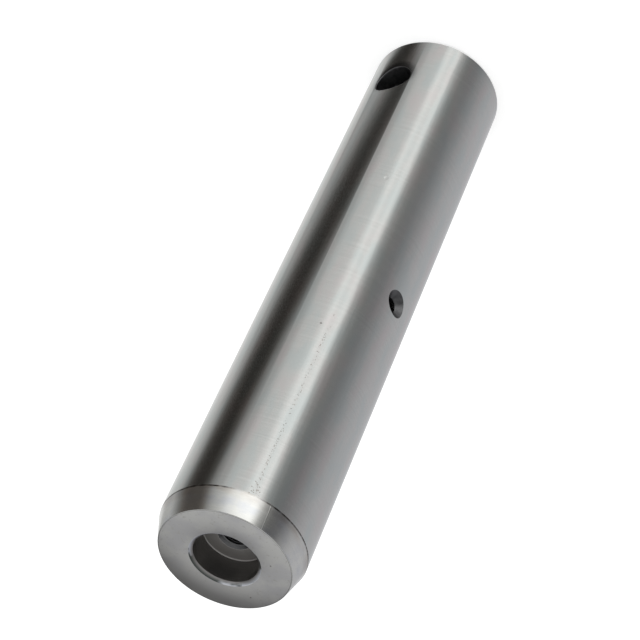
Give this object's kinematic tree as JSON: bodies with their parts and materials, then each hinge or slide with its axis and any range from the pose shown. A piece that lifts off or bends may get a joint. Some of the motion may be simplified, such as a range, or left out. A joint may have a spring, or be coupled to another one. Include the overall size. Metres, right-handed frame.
{
  "type": "pivot pin",
  "caption": "Steel pivot pin with a tapered lead-in, a recessed grease fitting hole, a side grease outlet and a cross hole for a retaining bolt.",
  "frame": {"origin": "centre of the plain end, on the pin's axis", "axes": "+Z along the pin towards its tapered end, +X along the retaining bolt's hole, -Y out of the grease outlet"},
  "size_m": [0.05, 0.05, 0.25],
  "materials": {
    "ground_steel": "ground bright along the bearing surface, turned on the taper and the end faces, dark and oily in the bores"
  },
  "bodies": {
    "root": {"pivot_pin": "ground_steel"}
  },
  "joints": []
}
